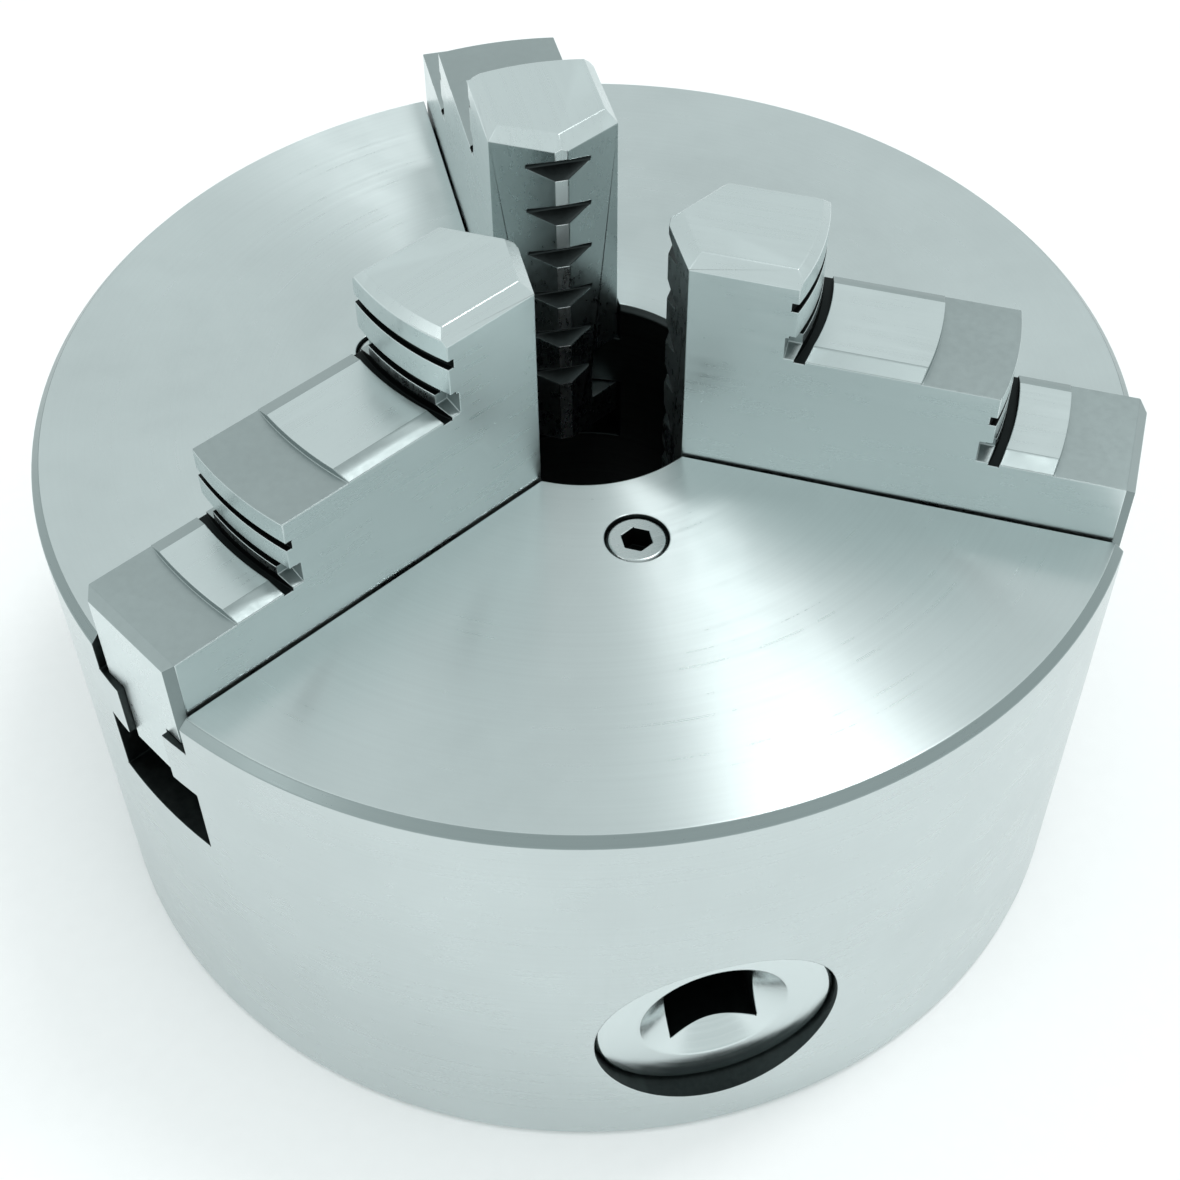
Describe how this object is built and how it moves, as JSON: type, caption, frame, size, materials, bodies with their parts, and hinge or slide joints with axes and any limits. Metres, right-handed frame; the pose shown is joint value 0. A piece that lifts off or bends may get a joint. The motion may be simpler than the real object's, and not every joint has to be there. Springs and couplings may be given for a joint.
{
  "type": "three-jaw self-centring lathe chuck",
  "caption": "Self-centring scroll chuck: stepped jaws that slide together when a square-socket bevel pinion turns the spiral scroll plate inside.",
  "frame": {"origin": "centre of the back face, on the spindle axis", "axes": "+Z along the spindle axis, out of the jaw face; +Y along jaw 1; pinion 3 points along -Y"},
  "size_m": [0.125, 0.125, 0.0872],
  "materials": {
    "body": "fine turned, bright",
    "jaw": "hardened and ground, matt at the step ends",
    "pinion": "ground face and countersink",
    "scroll": "machined, oiled",
    "cover": "turned",
    "screw": "oiled"
  },
  "bodies": {
    "housing": {"chuck_body": "body", "rear_cover": "cover", "face_screw_1": "screw", "face_screw_2": "screw", "face_screw_3": "screw", "pinion_stop_screw_1": "screw", "pinion_stop_screw_2": "screw", "pinion_stop_screw_3": "screw", "cover_screw_1": "screw", "cover_screw_2": "screw", "cover_screw_3": "screw", "cover_screw_4": "screw", "cover_screw_5": "screw", "cover_screw_6": "screw"},
    "scroll": {"scroll_plate": "scroll"},
    "jaw_1": {"jaw_1": "jaw"},
    "jaw_2": {"jaw_2": "jaw"},
    "jaw_3": {"jaw_3": "jaw"},
    "pinion_1": {"pinion_1": "pinion"},
    "pinion_2": {"pinion_2": "pinion"},
    "pinion_3": {"pinion_3": "pinion"}
  },
  "joints": [
    {"name": "scroll_turn", "type": "hinge", "parent": "housing", "child": "scroll", "pos_m": [0, 0, 0.035], "axis": [0, 0, 1], "range_deg": [-450, 360]},
    {"name": "jaw_1_slide", "type": "slide", "parent": "housing", "child": "jaw_1", "axis": [0, 1, 0], "range_m": [-0.008, 0.01]},
    {"name": "jaw_2_slide", "type": "slide", "parent": "housing", "child": "jaw_2", "axis": [-0.866, -0.5, 0], "range_m": [-0.008, 0.01]},
    {"name": "jaw_3_slide", "type": "slide", "parent": "housing", "child": "jaw_3", "axis": [0.866, -0.5, 0], "range_m": [-0.008, 0.01]},
    {"name": "pinion_1_turn", "type": "hinge", "parent": "housing", "child": "pinion_1", "pos_m": [0, 0, 0.021], "axis": [0.866, 0.5, 0], "range_deg": [-1620, 2025]},
    {"name": "pinion_2_turn", "type": "hinge", "parent": "housing", "child": "pinion_2", "pos_m": [0, 0, 0.021], "axis": [-0.866, 0.5, 0], "range_deg": [-1620, 2025]},
    {"name": "pinion_3_turn", "type": "hinge", "parent": "housing", "child": "pinion_3", "pos_m": [0, 0, 0.021], "axis": [0, -1, 0], "range_deg": [-1620, 2025]}
  ],
  "couplings": [
    {"joint": "jaw_1_slide", "follows": "scroll_turn", "m_per_rad": -0.0012732},
    {"joint": "jaw_2_slide", "follows": "scroll_turn", "m_per_rad": -0.0012732},
    {"joint": "jaw_3_slide", "follows": "scroll_turn", "m_per_rad": -0.0012732},
    {"joint": "pinion_1_turn", "follows": "scroll_turn", "ratio": -4.5},
    {"joint": "pinion_2_turn", "follows": "scroll_turn", "ratio": -4.5},
    {"joint": "pinion_3_turn", "follows": "scroll_turn", "ratio": -4.5}
  ]
}
